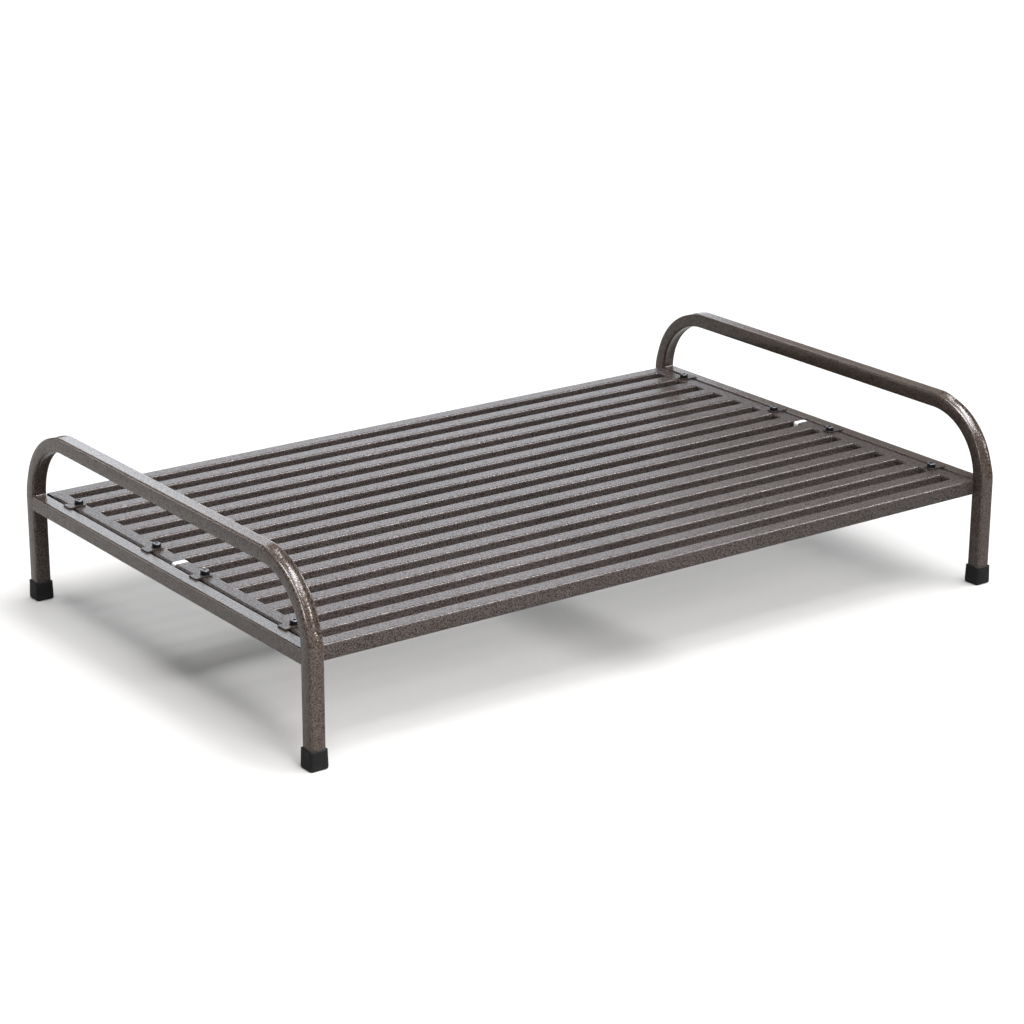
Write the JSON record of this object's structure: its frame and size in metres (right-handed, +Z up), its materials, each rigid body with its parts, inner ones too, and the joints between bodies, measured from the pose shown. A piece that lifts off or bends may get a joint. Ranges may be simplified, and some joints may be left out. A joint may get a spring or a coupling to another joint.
{
  "type": "raised dog bed frame",
  "caption": "Raised metal dog bed frame: two bent square-tube end hoops on rubber feet carry a deck of two bolted slatted panels.",
  "frame": {"origin": "on the floor, under the middle of the bed", "axes": "+X along the bed's length, +Y across it, +Z up; symmetric about both upright middle planes"},
  "size_m": [1.054, 0.684, 0.24],
  "materials": {
    "hammered_frame_paint": "hammered grey-brown paint, satin",
    "hammered_deck_paint": "hammered grey-brown paint, satin",
    "foot_rubber": "black moulded rubber, matte",
    "plug_plastic": "natural white nylon, matte",
    "black_hardware": "black oxide steel, semi-gloss"
  },
  "bodies": {
    "root": {"left_hoop": "hammered_frame_paint", "left_end_rail": "hammered_frame_paint", "right_hoop": "hammered_frame_paint", "right_end_rail": "hammered_frame_paint", "front_left_foot": "foot_rubber", "front_right_foot": "foot_rubber", "back_left_foot": "foot_rubber", "back_right_foot": "foot_rubber", "front_outer_rail": "hammered_deck_paint", "front_inner_rail": "hammered_deck_paint", "front_slat_2": "hammered_deck_paint", "front_slat_3": "hammered_deck_paint", "front_slat_4": "hammered_deck_paint", "front_slat_5": "hammered_deck_paint", "front_slat_6": "hammered_deck_paint", "front_slat_7": "hammered_deck_paint", "front_left_end_bar": "hammered_deck_paint", "front_right_end_bar": "hammered_deck_paint", "front_cross_strap": "hammered_deck_paint", "back_outer_rail": "hammered_deck_paint", "back_inner_rail": "hammered_deck_paint", "back_slat_2": "hammered_deck_paint", "back_slat_3": "hammered_deck_paint", "back_slat_4": "hammered_deck_paint", "back_slat_5": "hammered_deck_paint", "back_slat_6": "hammered_deck_paint", "back_slat_7": "hammered_deck_paint", "back_left_end_bar": "hammered_deck_paint", "back_right_end_bar": "hammered_deck_paint", "back_cross_strap": "hammered_deck_paint", "centre_strap": "hammered_deck_paint", "front_left_plug": "plug_plastic", "front_right_plug": "plug_plastic", "back_left_plug": "plug_plastic", "back_right_plug": "plug_plastic", "deck_lugs": "hammered_deck_paint", "bolt_washers": "black_hardware", "nut_washers": "black_hardware", "deck_bolts": "black_hardware", "deck_nuts": "black_hardware"}
  },
  "joints": []
}
